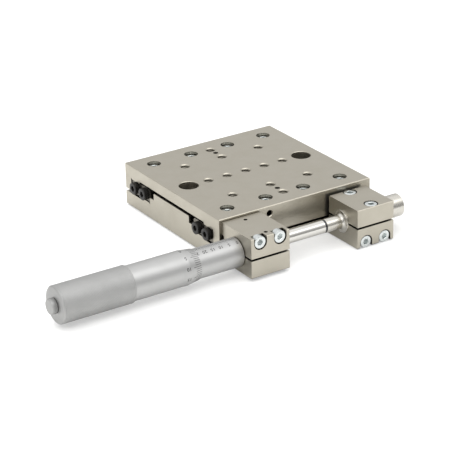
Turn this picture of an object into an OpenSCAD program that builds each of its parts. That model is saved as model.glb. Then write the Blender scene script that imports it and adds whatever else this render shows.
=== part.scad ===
// Linear translation stage on crossed roller guideways, moved by a micrometer head.
// X runs along the travel, from the micrometer to the anvil. -Y is the micrometer's side. +Z is up.
// The origin is the middle of the base's underside. The table stands at mid travel.

/* [Stage] */
// Length of the table and the base along the travel
stage_l = 100; // [96:1:130]
// Width of the table and the base across the travel
stage_w = 100; // [98:1:130]
// Height from the base's underside to the table's top
stage_h = 25.5; // [25:0.1:30]
// Full travel of the table
travel = 50; // [30:1:52]
// Thickness of the table's plate between its legs
table_t = 6.7; // [6:0.1:7.5]
// Thickness of the table's legs
leg_w = 6.2; // [5.8:0.1:8]
// Gap between the table's legs and the base's flange
leg_gap = 1.4; // [0.6:0.1:2]
// Thickness of the base's flange
flange_t = 8.4; // [8:0.1:9.5]
// Gap between the table's plate and the base's centre block
centre_gap = 2; // [0.6:0.1:3]
// Chamfer on the outer edges of the plates and blocks
edge_chamfer = 0.4; // [0.2:0.1:1]

/* [Guideways] */
// Width of one rail
rail_w = 9.8; // [9:0.1:11]
// Height of one rail
rail_h = 8; // [7:0.1:8.5]
// Gap between the two rails of a pair
rail_gap = 1; // [0.8:0.1:1.2]
// Height of the rail seat over the base's flange
seat_rise = 1.1; // [0.6:0.1:1.6]
// Height of the shoulder behind the inner rails
shoulder_h = 3.3; // [1.5:0.1:4]
// Width of the ledge between the inner rails and the centre block
ledge_w = 4.4; // [2:0.1:5]
// Chamfer on the rails' back corners
rail_chamfer = 1; // [0.3:0.1:1.4]
// Distance of a rail's screws from its back
rail_screw_back = 5.2; // [4.5:0.1:5.5]
// Distance between a rail's screws
rail_screw_pitch = 25; // [22:0.5:26.5]
// Distance of a rail's ends from the plates' ends
rail_setback = 0.5; // [0.2:0.1:1]
// Diameter of the rollers
roller_d = 3; // [2.5:0.1:3.2]
// Length of the rollers
roller_l = 2.8; // [2.3:0.1:2.9]
// Distance between neighbouring rollers
roller_pitch = 5; // [4.8:0.1:5.2]
// Number of rollers in each cage
roller_count = 14; // [8:1:14]
// Thickness of the roller cages
cage_t = 0.6; // [0.3:0.05:0.7]
// Height of the roller cages
cage_h = 7; // [6.2:0.1:7.2]
// Clearance between a roller and each groove face
roller_fit = 0.05; // [0.03:0.01:0.08]

/* [Table top holes] */
// Core diameter of the M6 tapped holes
m6_core_d = 5; // [4.8:0.1:5.2]
// Grid of the tapped holes
grid = 25; // [23:0.5:26]
// Distance of the outermost tapped holes from the centre
far_hole_y = 37.5; // [37:0.5:40]
// Depth of the outermost tapped holes
far_hole_depth = 6.5; // [4:0.5:7]
// Chamfer at the mouth of the tapped holes
hole_chamfer = 0.6; // [0.2:0.1:1]
// Diameter of the two dowel holes
dowel_d = 3; // [2:0.5:4]
// Distance of the dowel holes from the centre
dowel_y = 31.75; // [31:0.25:32.25]
// Depth of the dowel holes
dowel_depth = 5; // [3:0.5:6]
// Diameter of the two access holes over the base's mounting holes
access_d = 11.2; // [10.6:0.1:12.6]
// Chamfer at the mouth of the access holes
access_chamfer = 0.3; // [0.1:0.1:0.5]
// Distance of the mounting holes from the centre
mount_x = 38; // [36:0.5:40]
// Diameter of the mounting holes through the base
mount_hole_d = 6.6; // [6.2:0.1:7]
// Diameter of their counterbores
mount_bore_d = 11; // [10.5:0.5:11.5]
// Height of the counterbores' floor
mount_floor_z = 7; // [5:0.5:9]

/* [Clamp blocks] */
// Width of the clamp blocks along the travel
block_w = 24.3; // [22:0.1:26]
// Depth of the clamp blocks
block_d = 28.6; // [27.5:0.1:30]
// Height of the half that is screwed to the stage, from the micrometer's axis
block_half_h = 12; // [11.5:0.1:12]
// Height of the cap, from the micrometer's axis
cap_half_h = 10.7; // [10.6:0.1:11.8]
// Gap between a block and its cap
slit = 1.2; // [0.6:0.1:1.6]
// Gap between a cap and the stage's side
cap_relief = 2; // [1:0.1:2.5]
// Height of the relief in the block's own back, from the micrometer's axis
relief_top = 4.7; // [3:0.1:6]
// Middle of the micrometer's block
micrometer_block_x = -36.25; // [-37:0.25:-35.5]
// Middle of the anvil's block
anvil_block_x = 32.75; // [31.5:0.25:35]
// Distance between a block's two mounting screws
block_screw_pitch = 12.5; // [12:0.25:13]
// Distance of the mounting screws from the micrometer's axis
block_screw_z = 9; // [8.9:0.1:9.1]
// Distance of the clamp screws from the micrometer's axis
clamp_screw_y = 9.7; // [9.2:0.1:10.2]
// Diameter of the vent at the end of each clamp screw's thread
vent_d = 2.2; // [1.5:0.1:3]
// Distance of the micrometer's axis from the stage's side
axis_out = 14.4; // [14:0.1:15]
// Height of the micrometer's axis
axis_z = 12.1; // [12:0.1:12.3]

/* [Screws] */
// Nominal diameter of the cap screws
screw_d = 4; // [3.5:0.1:4]
// Diameter of the cap screws' heads
screw_head_d = 7; // [6.5:0.1:7.2]
// Height of the cap screws' heads
screw_head_h = 4; // [3:0.1:4]
// Size of the cap screws' hexagon sockets across the flats
socket_af = 3; // [2.5:0.1:3.5]
// Diameter of the cap screws' clearance holes
screw_hole_d = 4.5; // [4.2:0.1:4.6]
// Diameter of the cap screws' counterbores
counterbore_d = 8; // [7.6:0.1:8.4]
// Depth of the rail screws' heads below the surface
rail_screw_recess = 1.6; // [1:0.1:1.8]
// Depth of the block screws' heads below the surface
block_screw_recess = 0.3; // [0.1:0.1:1]
// Depth of the clamp screws' heads below the surface
clamp_screw_recess = 0.1; // [0.1:0.1:0.8]
// Length of the rail screws
rail_screw_l = 10; // [8:0.5:10]
// Length of the block screws' thread in the stage's side
block_screw_hold = 5.7; // [4:0.1:6]
// Length of the clamp screws
clamp_screw_l = 14; // [12:0.5:14]
// Core diameter of an M4 tapped hole
m4_core_d = 3.3; // [3.1:0.1:3.5]
// Nominal diameter of the rail end screws
end_screw_d = 4; // [3.5:0.1:4.5]
// Diameter of the rail end screws' low heads
end_head_d = 7; // [6.5:0.1:8.4]
// Height of the rail end screws' low heads
end_head_h = 2.8; // [2:0.1:4]
// Size of their hexagon sockets across the flats
end_socket_af = 3; // [2:0.1:3.5]
// Length of the rail end screws
end_screw_l = 7; // [5:0.5:7]

/* [Micrometer head] */
// Diameter of the stem in the clamp
stem_d = 12; // [11:0.5:12.5]
// Diameter of the graduated sleeve
sleeve_d = 16.4; // [16:0.1:17]
// Wall of the graduated sleeve
sleeve_wall = 1.2; // [0.8:0.1:1.5]
// Distance of the zero mark from the clamp block
zero_gap = 2.1; // [1.5:0.1:4]
// Diameter of the thimble
thimble_d = 19.2; // [19:0.1:20]
// Visible length of the thimble, from its edge to the grip
thimble_l = 40; // [36:0.5:45]
// Length of the thimble's graduated bevel
bevel_l = 7; // [4:0.5:10]
// Diameter of the grip sleeve
grip_d = 20.6; // [20.5:0.1:22]
// Length of the grip sleeve
grip_l = 42; // [41:0.5:50]
// Thickness of the grip sleeve's wall
grip_wall = 0.9; // [0.7:0.1:1]
// Diameter of the end screw's head
end_knob_d = 8.5; // [7:0.5:12]
// Height of the end screw's head
end_knob_h = 3.5; // [2:0.5:6]
// Diameter of the spindle
spindle_d = 7.5; // [7:0.1:8]
// Diameter of the spindle's screw thread
spindle_thread_d = 7; // [6.5:0.1:7]
// Diameter of the carbide tip on the spindle
tip_d = 7.3; // [6.5:0.1:7.5]
// Thickness of the carbide tip
tip_l = 1; // [0.5:0.1:2]
// Length of the screw nut inside the barrel
nut_l = 18; // [12:1:20]

/* [Anvil] */
// Diameter of the anvil
anvil_d = 7.8; // [7:0.1:8]
// Distance of the anvil's face from its block
anvil_reach = 12.3; // [10:0.1:14]
// Diameter of the anvil's shank in the clamp
shank_d = 13; // [12.4:0.1:13.2]
// Length of the shank in front of its block
shank_front = 1.2; // [0.8:0.1:2]
// Radius of the blend between the anvil and its shank
anvil_blend = 1.8; // [1:0.1:1.8]
// Length of the anvil's shank behind the block
shank_out = 14; // [8:0.5:20]

/* [Return springs] */
// Distance of the springs from the stage's middle
spring_y = 12; // [11.5:0.1:12.5]
// Outer diameter of the springs
spring_d = 5.4; // [4.5:0.1:5.8]
// Diameter of the spring wire
wire_d = 0.7; // [0.5:0.05:0.9]
// Number of turns
spring_turns = 20; // [12:1:24]
// Diameter of the spring pins
pin_d = 3; // [2.5:0.1:3]
// Place of the base's spring pins
base_pin_x = 42; // [41:0.5:43]
// Place of the table's spring pins at mid travel
table_pin_x = -20; // [-20.5:0.5:-18]
// Depth of the spring pins in their plates
pin_depth = 4; // [3:0.5:4.5]
// Width of the spring channels
channel_w = 7.4; // [6.6:0.1:7.8]
// Height of the channels' floor
channel_z = 9.5; // [9:0.1:10]

/* [Fits] */
// Radial clearance of screw threads
thread_fit = 0.05; // [0.02:0.01:0.1]
// Radial clearance of clamped and pressed pieces
clamp_fit = 0.02; // [0.01:0.01:0.05]
// Radial clearance of the spindle in the stem and the nut
spindle_fit = 0.04; // [0.02:0.01:0.08]
// Radial clearance of the thimble round the sleeve, and of the grip round the thimble
shell_fit = 0.15; // [0.1:0.01:0.2]
// Gap between faces that press on each other while one of them turns
face_fit = 0.02; // [0.01:0.01:0.05]

/* [Hidden] */
$fn = 48;

// Colours as the photograph shows them
nickel = [0.68, 0.66, 0.61];
satin_chrome = [0.80, 0.80, 0.80];
bright_steel = [0.86, 0.86, 0.85];
zinc = [0.78, 0.82, 0.86];
black_oxide = [0.12, 0.12, 0.12];
carbide = [0.28, 0.28, 0.29];
bronze = [0.70, 0.55, 0.32];

// Sides of the stage, and the two plates' ends
front = -1;
back = 1;
stage_sides = [front, back];
half_l = stage_l / 2;
half_w = stage_w / 2;

// Heights in the stage
relief_z = stage_h - table_t;
rail_z0 = flange_t + seat_rise;
rail_z1 = rail_z0 + rail_h;
rail_mid_z = rail_z0 + rail_h / 2;
leg_z0 = flange_t + leg_gap;
centre_z = relief_z - centre_gap;
ledge_z = rail_z0 + shoulder_h;

// Places across the travel, for one side of the stage
leg_y = half_w - leg_w;
pair_y = leg_y - rail_w - rail_gap / 2;
outer_face_y = pair_y + rail_gap / 2;
inner_face_y = pair_y - rail_gap / 2;
inner_back_y = inner_face_y - rail_w;
outer_screw_y = leg_y - rail_screw_back;
inner_screw_y = inner_back_y + rail_screw_back;
centre_half_w = inner_back_y - ledge_w;
seat_edge = 0.2;
inner_edge = 0.15;
corner_groove = 0.6;

// The V groove holds the rollers between two pairs of faces at 45 degrees
groove_side = roller_d + 2 * roller_fit;
groove_depth = (groove_side * sqrt(2) - rail_gap) / 2;
groove_relief_w = 0.5;
groove_relief_d = 0.4;
rail_edge = 0.3;
rail_l = stage_l - 2 * rail_setback;

// Places of a rail's screws along the travel: as many pairs as keep clear of its end screws
end_hole_room = 0.5;
end_screw_wall = 0.2;
rail_screw_end = end_screw_l + end_hole_room + end_screw_wall + screw_d / 2;
rail_screw_pairs = floor((rail_l / 2 - rail_screw_end) / rail_screw_pitch + 0.5);
rail_screw_x = [for (i = [0.5 - rail_screw_pairs : 1 : rail_screw_pairs]) i * rail_screw_pitch];

// Cage windows leave a little room round the rollers
window_fit = 0.1;
cage_end = 3;
cage_l = (roller_count - 1) * roller_pitch + 2 * cage_end;
roller_x = [for (i = [0 : roller_count - 1]) (i - (roller_count - 1) / 2) * roller_pitch];

// Clamp blocks
axis_y = -(half_w + axis_out);
block_screw_seat_y = -(half_w + block_d - block_screw_recess - screw_head_h);
block_screw_l = block_d - block_screw_recess - screw_head_h + block_screw_hold;
clamp_seat_z = cap_half_h - clamp_screw_recess - screw_head_h;
relief_r = 1;
table_holes_x = [for (i = [0 : 1]) micrometer_block_x + (i - 0.5) * block_screw_pitch];
spare_hole_x = micrometer_block_x + 1.5 * block_screw_pitch;
spare_hole_chamfer = 0.4;
base_holes_x = [for (i = [0 : 1]) anvil_block_x + (i - 0.5) * block_screw_pitch];
table_hole_z = axis_z + block_screw_z;
base_hole_z = axis_z - block_screw_z;
table_hole_depth = leg_w;
base_hole_depth = 10;

// Micrometer, along its axis
block_left_x = micrometer_block_x - block_w / 2;
block_right_x = micrometer_block_x + block_w / 2;
stem_front_x = block_right_x - 0.5;
zero_x = block_left_x - zero_gap;
thimble_edge_x = zero_x - travel / 2;
grip_front_x = thimble_edge_x - thimble_l;
grip_rear_x = grip_front_x - grip_l;
knob_rear_x = grip_rear_x - end_knob_h;
sleeve_tail = 3;
sleeve_rear_x = zero_x - travel - sleeve_tail;
nut_seat_l = 5;
barrel_rear_x = sleeve_rear_x - nut_seat_l;
barrel_r = sleeve_d / 2 - sleeve_wall - clamp_fit;
barrel_bore_r = 4.6;
nut_thread_r = barrel_r - 0.8;
thimble_bore_r = sleeve_d / 2 + shell_fit;
thimble_edge_r = thimble_bore_r + 0.2;
thimble_tail_r = grip_d / 2 - grip_wall - shell_fit;
barrel_room = 3;
thimble_wall_x = barrel_rear_x - travel / 2 - barrel_room;
thimble_wall_t = 6;
thimble_rear_x = thimble_wall_x - thimble_wall_t;
grip_end_t = 3;
grip_wall_x = grip_rear_x + grip_end_t;
disc_spring_r = 7;
disc_spring_t = 0.5;
end_shank_r = 2.5;
end_shank_in = 4;
spindle_neck_l = 11.5;
thread_front_x = zero_x - spindle_neck_l;
turned_chamfer = 0.5;
turned_edge = 0.2;

// Anvil, along the same axis
anvil_left_x = anvil_block_x - block_w / 2;
anvil_right_x = anvil_block_x + block_w / 2;
anvil_face_x = anvil_left_x - anvil_reach;
tip_x = anvil_face_x - face_fit;
shank_rear_x = anvil_right_x + shank_out;

// Return springs
spring_z = channel_z + channel_w / 2;
pin_clear = 1;
channel_x0 = table_pin_x - travel / 2 - pin_d / 2 - pin_clear;
channel_x1 = base_pin_x + pin_d / 2 + 1.5;
loop_r = pin_d / 2 + wire_d / 2 + 0.1;
coil_r = (spring_d - wire_d) / 2;
hook_l = 3;

// A flat outline across the travel, drawn out along X
module along_x(length) {
  rotate([90, 0, 90]) linear_extrude(length, center = true) children();
}

// A turned piece about the X axis, from a list of [place along X, radius]
module turned(outline) {
  rotate([0, 90, 0]) rotate_extrude() polygon([for (p = outline) [p[1], p[0]]]);
}

// Moves a turned piece onto the micrometer's axis
module on_axis() {
  translate([0, axis_y, axis_z]) children();
}

// A cylinder along -Y, whose face is at the origin
module hole_in_front(d, depth) {
  rotate([-90, 0, 0]) cylinder(d = d, h = depth);
}

// The outline of a rectangle with chamfered corners, from one corner to the other
function chamfered(x0, y0, x1, y1, c) = [
  [x0 + c, y0], [x1 - c, y0], [x1, y0 + c], [x1, y1 - c],
  [x1 - c, y1], [x0 + c, y1], [x0, y1 - c], [x0, y0 + c]
];

// A cap screw that points down from the seat of its head, with a hexagon socket
module cap_screw(d, head_d, head_h, af, length) {
  socket_d = af / cos(30);
  socket_depth = head_h * 0.55;
  head_edge = head_h * 0.1;
  point = d * 0.12;
  difference() {
    rotate_extrude() polygon([
      [0, -length], [d / 2 - point, -length], [d / 2, -length + point], [d / 2, 0], [head_d / 2, 0],
      [head_d / 2, head_h - head_edge], [head_d / 2 - head_edge, head_h], [0, head_h]
    ]);
    translate([0, 0, head_h - socket_depth]) cylinder(d = socket_d, h = head_h, $fn = 6);
  }
}

module m4_screw(length) {
  cap_screw(screw_d, screw_head_d, screw_head_h, socket_af, length);
}

// The hole for a cap screw that points down from its seat: the head's counterbore and the clearance hole
module screw_seat(recess, clear_depth) {
  cylinder(d = counterbore_d, h = screw_head_h + recess + 1);
  translate([0, 0, -clear_depth]) cylinder(d = screw_hole_d, h = clear_depth + 0.5);
}

// A hole that goes down from the origin, with a chamfered mouth
module tapped_hole(d, depth, chamfer = hole_chamfer) {
  mouth = 1;
  translate([0, 0, -depth]) cylinder(d = d, h = depth + mouth);
  translate([0, 0, -chamfer]) cylinder(r1 = d / 2, r2 = d / 2 + chamfer + mouth, h = chamfer + mouth);
}

// Base plate: flange, rail seats with their shoulders, and the centre block with its channels
module base_outline() {
  c = edge_chamfer;
  g = corner_groove;
  half = [
    [half_w - c, 0], [half_w, c], [half_w, flange_t - c], [half_w - c, flange_t],
    [inner_face_y + seat_edge, flange_t], [inner_face_y + seat_edge, rail_z0],
    [inner_back_y + g, rail_z0], [inner_back_y + g, rail_z0 - g], [inner_back_y, rail_z0 - g],
    [inner_back_y, ledge_z], [centre_half_w, ledge_z],
    [centre_half_w, centre_z - c], [centre_half_w - c, centre_z]
  ];
  polygon(concat(half, [for (i = [len(half) - 1 : -1 : 0]) [-half[i][0], half[i][1]]]));
}

// The base seen from its side: the end edges are chamfered at the bottom, and nearly sharp at the top
module base_side_outline() {
  c = edge_chamfer;
  e = inner_edge;
  polygon([
    [c - half_l, 0], [half_l - c, 0], [half_l, c], [half_l, centre_z - e],
    [half_l - e, centre_z], [e - half_l, centre_z], [-half_l, centre_z - e], [-half_l, c]
  ]);
}

module base_plate() {
  color(nickel) difference() {
    intersection() {
      along_x(stage_l) base_outline();
      rotate([90, 0, 0]) linear_extrude(stage_w + 1, center = true) base_side_outline();
    }
    for (x = [-mount_x, mount_x]) translate([x, 0, 0]) {
      translate([0, 0, -1]) cylinder(d = mount_hole_d, h = centre_z + 2);
      translate([0, 0, mount_floor_z]) cylinder(d = mount_bore_d, h = centre_z);
    }
    for (side = stage_sides, x = rail_screw_x)
      translate([x, side * inner_screw_y, rail_screw_recess + screw_head_h]) mirror([0, 0, 1])
        screw_seat(rail_screw_recess, rail_z0 - rail_screw_recess - screw_head_h + 1);
    for (side = stage_sides) {
      translate([channel_x0, side * spring_y - channel_w / 2, channel_z])
        cube([channel_x1 - channel_x0, channel_w, centre_z]);
      translate([base_pin_x, side * spring_y, channel_z - pin_depth])
        cylinder(d = pin_d + 2 * clamp_fit, h = pin_depth + 1);
    }
    for (x = base_holes_x) translate([x, -half_w - 1, base_hole_z])
      hole_in_front(screw_d + 2 * thread_fit, base_hole_depth + 1);
  }
}

// Table plate: an inverted U with the outer rails' seats inside its legs
module table_outline() {
  c = edge_chamfer;
  g = corner_groove;
  half = [
    [outer_face_y + seat_edge, relief_z], [outer_face_y + seat_edge, rail_z1],
    [leg_y - g, rail_z1], [leg_y - g, rail_z1 + g], [leg_y, rail_z1 + g],
    [leg_y, leg_z0 + c], [leg_y + c, leg_z0], [half_w - c, leg_z0], [half_w, leg_z0 + c],
    [half_w, stage_h - c], [half_w - c, stage_h]
  ];
  polygon(concat(half, [for (i = [len(half) - 1 : -1 : 0]) [-half[i][0], half[i][1]]]));
}

module table_plate() {
  color(nickel) difference() {
    intersection() {
      along_x(stage_l) table_outline();
      rotate([90, 0, 0]) linear_extrude(stage_w + 1, center = true)
        polygon(chamfered(-half_l, leg_z0, half_l, stage_h, edge_chamfer));
    }
    translate([0, 0, stage_h]) {
      for (x = [-1 : 0.5 : 1]) translate([x * grid, 0, 0]) tapped_hole(m6_core_d, table_t + 1);
      for (side = stage_sides) {
        for (x = [-grid, 0, grid]) translate([x, side * grid, 0]) tapped_hole(m6_core_d, table_t + 1);
        translate([0, side * far_hole_y, 0]) tapped_hole(m6_core_d, far_hole_depth);
        translate([0, side * dowel_y, -dowel_depth]) cylinder(d = dowel_d, h = dowel_depth + 1);
      }
      for (x = [-mount_x, mount_x]) translate([x, 0, 0]) tapped_hole(access_d, table_t + 1, access_chamfer);
    }
    for (side = stage_sides, x = rail_screw_x)
      translate([x, side * outer_screw_y, stage_h - rail_screw_recess - screw_head_h])
        screw_seat(rail_screw_recess, stage_h - rail_z1 - rail_screw_recess - screw_head_h + 1);
    for (side = stage_sides)
      translate([table_pin_x, side * spring_y, relief_z - 1])
        cylinder(d = pin_d + 2 * clamp_fit, h = pin_depth + 1);
    for (x = table_holes_x) translate([x, -half_w - 1, table_hole_z])
      hole_in_front(screw_d + 2 * thread_fit, table_hole_depth + 1);
    translate([spare_hole_x, -half_w, table_hole_z]) rotate([90, 0, 0])
      tapped_hole(m4_core_d, table_hole_depth, spare_hole_chamfer);
  }
}

// One rail with its back at the origin and its V groove towards +Y, in its own height
module rail_outline() {
  c = rail_chamfer;
  e = rail_edge;
  mid = rail_h / 2;
  polygon([
    [c, 0], [rail_w - e, 0], [rail_w, e],
    [rail_w, mid - groove_depth], [rail_w - groove_depth + groove_relief_w / 2, mid - groove_relief_w / 2],
    [rail_w - groove_depth - groove_relief_d, mid - groove_relief_w / 2],
    [rail_w - groove_depth - groove_relief_d, mid + groove_relief_w / 2],
    [rail_w - groove_depth + groove_relief_w / 2, mid + groove_relief_w / 2], [rail_w, mid + groove_depth],
    [rail_w, rail_h - e], [rail_w - e, rail_h], [c, rail_h], [0, rail_h - c], [0, c]
  ]);
}

// A rail with the tapped holes for its four mounting screws and its two end screws
module rail() {
  difference() {
    along_x(rail_l) rail_outline();
    for (x = rail_screw_x) translate([x, rail_screw_back, -1])
      cylinder(d = screw_d + 2 * thread_fit, h = rail_h + 2);
    for (end = [-1, 1]) translate([end * (rail_l / 2 + 1), rail_screw_back, rail_h / 2])
      rotate([0, -90 * end, 0])
        cylinder(d = end_screw_d + 2 * thread_fit, h = end_screw_l + end_hole_room + 1);
  }
}

// Inner rails stand on the base and face outwards. Outer rails hang in the table and face inwards.
module inner_rail(side) {
  color(bright_steel) mirror([0, side == front ? 1 : 0, 0]) translate([0, inner_back_y, rail_z0]) rail();
}

module outer_rail(side) {
  color(bright_steel) mirror([0, side == back ? 1 : 0, 0]) translate([0, -leg_y, rail_z0]) rail();
}

module end_screws(y) {
  color(black_oxide) for (side = stage_sides, end = [-1, 1])
    translate([end * rail_l / 2, side * y, rail_mid_z]) rotate([0, 90 * end, 0])
      cap_screw(end_screw_d, end_head_d, end_head_h, end_socket_af, end_screw_l);
}

module inner_rail_screws() {
  color(zinc) for (side = stage_sides, x = rail_screw_x)
    translate([x, side * inner_screw_y, rail_screw_recess + screw_head_h]) mirror([0, 0, 1])
      m4_screw(rail_screw_l);
}

module table_rail_screws() {
  color(zinc) for (side = stage_sides, x = rail_screw_x)
    translate([x, side * outer_screw_y, stage_h - rail_screw_recess - screw_head_h]) m4_screw(rail_screw_l);
}

// Roller cage: a strip between the rails, with a window for each roller
module cage(side) {
  window_w = roller_d + 2 * window_fit;
  window_h = roller_l * sqrt(2) + cage_t + 2 * window_fit;
  color(bronze) translate([0, side * pair_y, rail_mid_z]) difference() {
    cube([cage_l, cage_t, cage_h], center = true);
    for (x = roller_x) translate([x, 0, 0]) cube([window_w, cage_t + 1, window_h], center = true);
  }
}

// Crossed rollers: each one lies at a right angle to its neighbours, on the grooves' 45 degree faces
module rollers(side) {
  color(bright_steel) for (i = [0 : roller_count - 1])
    translate([roller_x[i], side * pair_y, rail_mid_z]) rotate([i % 2 == 0 ? 45 : -45, 0, 0])
      cylinder(d = roller_d, h = roller_l, center = true);
}

// The bore of a clamp, along the micrometer's axis
module clamp_bore(d) {
  translate([0, axis_y, 0]) rotate([0, 90, 0])
    cylinder(d = d + 2 * clamp_fit, h = block_w + 1, center = true);
}

// The slot between the stage's side and the lower part of the block, with a round corner at its top
module back_relief() {
  x0 = -half_w - cap_relief;
  along_x(block_w + 1) polygon(concat(
    [[x0, -1], [1 - half_w, -1], [1 - half_w, relief_top]],
    [for (a = [90 : 15 : 180]) [x0 + relief_r + relief_r * cos(a), relief_top - relief_r + relief_r * sin(a)]]
  ));
}

// The half of a clamp that is screwed to the stage's side. Its cap is below it, along -Z.
module block_half(bore_d) {
  difference() {
    intersection() {
      translate([-block_w / 2, -half_w - block_d, slit / 2]) cube([block_w, block_d, block_half_h - slit / 2]);
      along_x(block_w) polygon(chamfered(-half_w - block_d, -block_half_h, -half_w, block_half_h, edge_chamfer));
    }
    clamp_bore(bore_d);
    back_relief();
    for (x = [-0.5, 0.5]) translate([x * block_screw_pitch, 0, block_screw_z]) {
      translate([0, block_screw_seat_y, 0]) rotate([90, 0, 0]) {
        cylinder(d = counterbore_d, h = block_d);
        translate([-counterbore_d / 2, 0, 0]) cube([counterbore_d, block_half_h, block_d]);
      }
      translate([0, -half_w - block_d, 0]) hole_in_front(screw_hole_d, block_d + 1);
    }
    for (y = [-clamp_screw_y, clamp_screw_y]) translate([0, axis_y + y, 0]) {
      cylinder(d = screw_d + 2 * thread_fit, h = clamp_screw_l - clamp_seat_z + 1);
      cylinder(d = vent_d, h = block_half_h + 1);
    }
  }
}

// The clamp's cap, below the slit, with the seats of the two clamp screws in its underside
module clamp_cap(bore_d) {
  cap_d = block_d - cap_relief;
  difference() {
    intersection() {
      translate([-block_w / 2, -half_w - block_d, -cap_half_h]) cube([block_w, cap_d, cap_half_h - slit / 2]);
      along_x(block_w)
        polygon(chamfered(-half_w - block_d, -cap_half_h, -half_w - cap_relief, cap_half_h, edge_chamfer));
    }
    clamp_bore(bore_d);
    for (y = [-clamp_screw_y, clamp_screw_y])
      translate([0, axis_y + y, -clamp_seat_z]) mirror([0, 0, 1]) screw_seat(clamp_screw_recess, clamp_seat_z);
  }
}

// Places a clamp piece on the micrometer's side of the table, or turned over on the base
module at_micrometer() {
  translate([micrometer_block_x, 0, axis_z]) children();
}

module at_anvil() {
  translate([anvil_block_x, 0, axis_z]) rotate([0, 180, 0]) children();
}

module block_screws() {
  for (x = [-0.5, 0.5]) translate([x * block_screw_pitch, block_screw_seat_y, block_screw_z])
    rotate([90, 0, 0]) m4_screw(block_screw_l);
}

module clamp_screws() {
  for (y = [-clamp_screw_y, clamp_screw_y]) translate([0, axis_y + y, -clamp_seat_z])
    mirror([0, 0, 1]) m4_screw(clamp_screw_l);
}

module micrometer_block() {
  color(nickel) at_micrometer() block_half(stem_d);
}

module micrometer_clamp_cap() {
  color(nickel) at_micrometer() clamp_cap(stem_d);
}

module micrometer_block_screws() {
  color(zinc) at_micrometer() block_screws();
}

module micrometer_clamp_screws() {
  color(zinc) at_micrometer() clamp_screws();
}

module anvil_block() {
  color(nickel) at_anvil() block_half(shank_d);
}

module anvil_clamp_cap() {
  color(nickel) at_anvil() clamp_cap(shank_d);
}

module anvil_block_screws() {
  color(zinc) at_anvil() block_screws();
}

module anvil_clamp_screws() {
  color(zinc) at_anvil() clamp_screws();
}

// Anvil post: face, neck, a blend to the shank, and the shank through the clamp
module anvil_post() {
  steps = 6;
  shank_x = anvil_left_x - shank_front;
  blend_x = shank_x - anvil_blend;
  blend_r = anvil_d / 2 + anvil_blend;
  c = turned_chamfer;
  e = turned_edge;
  color(bright_steel) on_axis() turned(concat(
    [[anvil_face_x, 0], [anvil_face_x, anvil_d / 2 - e], [anvil_face_x + e, anvil_d / 2]],
    [for (i = [0 : steps]) let (a = 90 * i / steps)
      [blend_x + anvil_blend * sin(a), blend_r - anvil_blend * cos(a)]],
    [[shank_x, shank_d / 2 - e], [shank_x + e, shank_d / 2],
      [shank_rear_x - c, shank_d / 2], [shank_rear_x, shank_d / 2 - c], [shank_rear_x, 0]]
  ));
}

// Stem and barrel: the clamped stem, the barrel under the sleeve, and the screw nut at its rear
module stem_barrel() {
  guide_r = spindle_d / 2 + spindle_fit;
  nut_r = spindle_thread_d / 2 + spindle_fit;
  nut_x = barrel_rear_x + nut_l;
  color(satin_chrome) on_axis() turned([
    [barrel_rear_x, nut_r], [nut_x, nut_r], [nut_x, barrel_bore_r], [block_left_x, barrel_bore_r],
    [block_left_x, guide_r], [stem_front_x, guide_r],
    [stem_front_x, stem_d / 2 - turned_chamfer], [stem_front_x - turned_chamfer, stem_d / 2],
    [block_left_x, stem_d / 2], [block_left_x, barrel_r], [sleeve_rear_x, barrel_r],
    [sleeve_rear_x, nut_thread_r], [barrel_rear_x, nut_thread_r]
  ]);
}

// Graduated sleeve, with the small hole for the spanner that sets its zero
module graduated_sleeve() {
  spanner_hole_d = 1.5;
  color(satin_chrome) on_axis() difference() {
    turned([
      [sleeve_rear_x, barrel_r + clamp_fit], [block_left_x, barrel_r + clamp_fit],
      [block_left_x, sleeve_d / 2 - turned_chamfer], [block_left_x - turned_chamfer, sleeve_d / 2],
      [sleeve_rear_x, sleeve_d / 2]
    ]);
    translate([block_left_x - 6, 0, -sleeve_d]) cylinder(d = spanner_hole_d, h = sleeve_d);
  }
}

module adjusting_nut() {
  nut_gap = 0.3;
  color(satin_chrome) on_axis() turned([
    [barrel_rear_x, nut_thread_r + thread_fit], [sleeve_rear_x - nut_gap, nut_thread_r + thread_fit],
    [sleeve_rear_x - nut_gap, barrel_r], [barrel_rear_x + turned_chamfer, barrel_r],
    [barrel_rear_x, barrel_r - turned_chamfer]
  ]);
}

// Spindle: the polished shaft behind the tip, and the screw that runs in the nut
module spindle() {
  front_x = tip_x - tip_l;
  bore_r = end_shank_r + thread_fit;
  thread_r = spindle_thread_d / 2;
  color(bright_steel) on_axis() turned([
    [front_x, 0], [front_x, spindle_d / 2 - turned_edge], [front_x - turned_edge, spindle_d / 2],
    [thread_front_x, spindle_d / 2], [thread_front_x, thread_r],
    [thimble_rear_x, thread_r], [thimble_rear_x, bore_r], [thimble_rear_x + end_shank_in, bore_r],
    [thimble_rear_x + end_shank_in, 0]
  ]);
}

// Carbide tip, brazed to the spindle's end, which meets the anvil
module spindle_tip() {
  color(carbide) on_axis() turned([
    [tip_x, 0], [tip_x, tip_d / 2 - turned_edge], [tip_x - turned_edge, tip_d / 2],
    [tip_x - tip_l, tip_d / 2], [tip_x - tip_l, 0]
  ]);
}

// Thimble: bevelled edge, plain barrel, and the tail that the grip turns on
module thimble() {
  r = thimble_d / 2;
  color(satin_chrome) on_axis() turned([
    [thimble_edge_x, thimble_bore_r], [thimble_edge_x, thimble_edge_r], [thimble_edge_x - bevel_l, r],
    [grip_front_x + face_fit, r], [grip_front_x + face_fit, thimble_tail_r], [thimble_rear_x, thimble_tail_r],
    [thimble_rear_x, spindle_thread_d / 2 + clamp_fit], [thimble_wall_x, spindle_thread_d / 2 + clamp_fit],
    [thimble_wall_x, thimble_bore_r]
  ]);
}

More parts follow.
